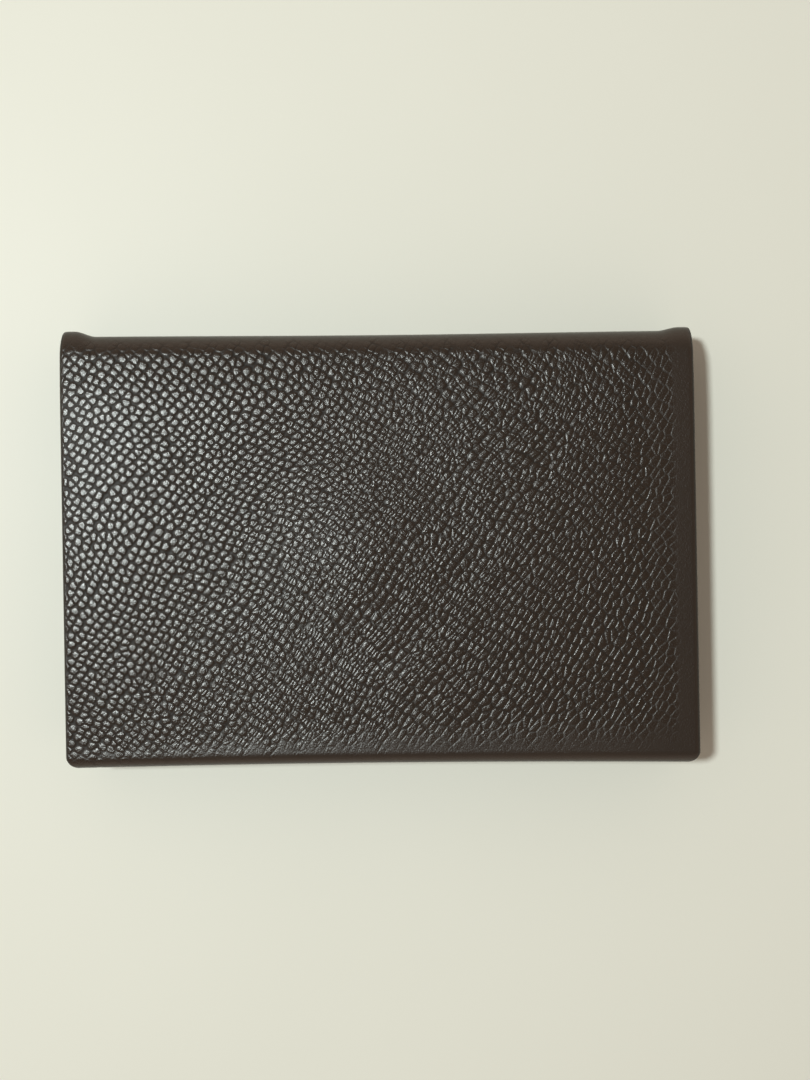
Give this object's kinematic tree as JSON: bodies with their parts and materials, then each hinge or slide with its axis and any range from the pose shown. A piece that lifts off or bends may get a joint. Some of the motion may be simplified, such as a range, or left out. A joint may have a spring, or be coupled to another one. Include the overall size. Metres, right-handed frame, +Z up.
{
  "type": "business card case",
  "caption": "Flat folding card case in embossed leather, with a gusseted card pocket, a slip pocket in the lid and a hidden press stud.",
  "frame": {"origin": "middle of the footprint, on the surface that the closed case lies on", "axes": "+X along the long side and the fold, +Y from the opening edge towards the fold, +Z up out of the lid"},
  "size_m": [0.105, 0.0726, 0.0143],
  "materials": {
    "embossed_leather": "dark brown-grey, embossed pebble grain, satin",
    "lining_leather": "smooth, matt",
    "leather_board": "bonded fibre, matt",
    "thread": "waxed, twisted",
    "snap_metal": "polished palladium plate",
    "spring_wire": "drawn wire"
  },
  "bodies": {
    "rear": {"rear_cover_leather": "embossed_leather", "rear_cover_lining": "lining_leather", "rear_stiffener": "leather_board", "gusset_left": "lining_leather", "gusset_right": "lining_leather", "rear_crease_leather": "embossed_leather", "rear_crease_lining": "lining_leather"},
    "rear_pocket": {"rear_pocket_leather": "embossed_leather", "rear_pocket_lining": "lining_leather", "rear_pocket_stitches": "thread", "snap_post": "snap_metal", "snap_stud": "snap_metal"},
    "spine": {"spine_leather": "embossed_leather", "spine_stay": "leather_board", "spine_lining": "lining_leather"},
    "lid": {"front_crease_leather": "embossed_leather", "front_crease_lining": "lining_leather", "front_cover_leather": "embossed_leather", "front_cover_lining": "lining_leather", "front_stiffener": "leather_board", "front_pocket_leather": "embossed_leather", "front_pocket_lining": "lining_leather", "front_pocket_stitches": "thread", "front_welt_left": "lining_leather", "front_welt_right": "lining_leather", "snap_socket": "snap_metal", "snap_spring": "spring_wire", "snap_cap": "snap_metal"}
  },
  "joints": [
    {"name": "spine_fold", "type": "hinge", "parent": "rear", "child": "spine", "pos_m": [0, 0.03449, 0.00121], "axis": [-1, 0, 0], "range_deg": [0, 90], "deforming": ["rear_crease_leather", "rear_crease_lining"]},
    {"name": "cover_fold", "type": "hinge", "parent": "spine", "child": "lid", "pos_m": [0, 0.03449, 0.01259], "axis": [-1, 0, 0], "range_deg": [0, 90], "deforming": ["front_crease_leather", "front_crease_lining"]},
    {"name": "pocket_squeeze", "type": "hinge", "parent": "rear", "child": "rear_pocket", "pos_m": [0, -0.0321, 0.0062], "axis": [-1, 0, 0], "range_deg": [0, 3.2], "stiffness_Nm_per_rad": 1, "springref_deg": -0.57, "deforming": ["gusset_left", "gusset_right"]}
  ],
  "couplings": [
    {"joint": "cover_fold", "follows": "spine_fold", "ratio": 1}
  ]
}
